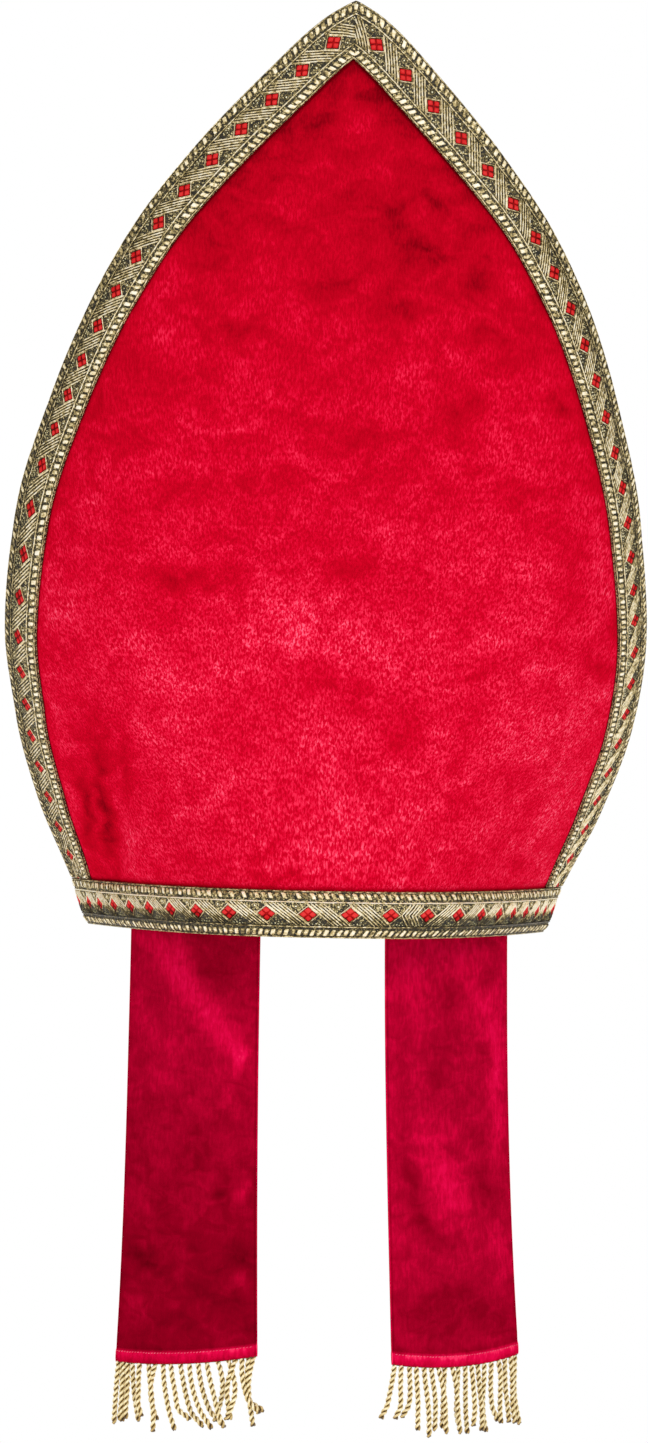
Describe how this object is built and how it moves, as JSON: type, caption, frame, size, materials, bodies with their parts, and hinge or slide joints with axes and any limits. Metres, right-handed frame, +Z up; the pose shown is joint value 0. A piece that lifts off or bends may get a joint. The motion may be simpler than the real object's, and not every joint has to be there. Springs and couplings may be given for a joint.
{
  "type": "bishop mitre",
  "caption": "Tall pointed velvet mitre: two curved horns joined by a creased gusset, patterned braid round the rim and up the edges, and fringed lappets hanging from the back of the rim.",
  "frame": {"origin": "centre of the head opening, in the plane of the rim band's lower edge", "axes": "+Z up through the crown, +X towards the wearer's right, -Y towards the wearer's back, where the lappets hang"},
  "size_m": [0.2472, 0.333, 0.5461],
  "materials": {
    "velvet": "crimson cotton velvet, matt, with a bright nap",
    "lining_velvet": "crimson velvet, plain, on the inward side of both horns",
    "braid": "woven gold and dark olive braid with crimson diamonds",
    "fringe": "twisted gold cord, soft shine"
  },
  "bodies": {
    "root": {"back_horn": "velvet", "front_horn": "velvet", "gusset": "lining_velvet", "left_lappet": "velvet", "right_lappet": "velvet", "rim_band": "braid", "back_edge_braid": "braid", "front_edge_braid": "braid", "left_fringe": "fringe", "right_fringe": "fringe"}
  },
  "joints": []
}
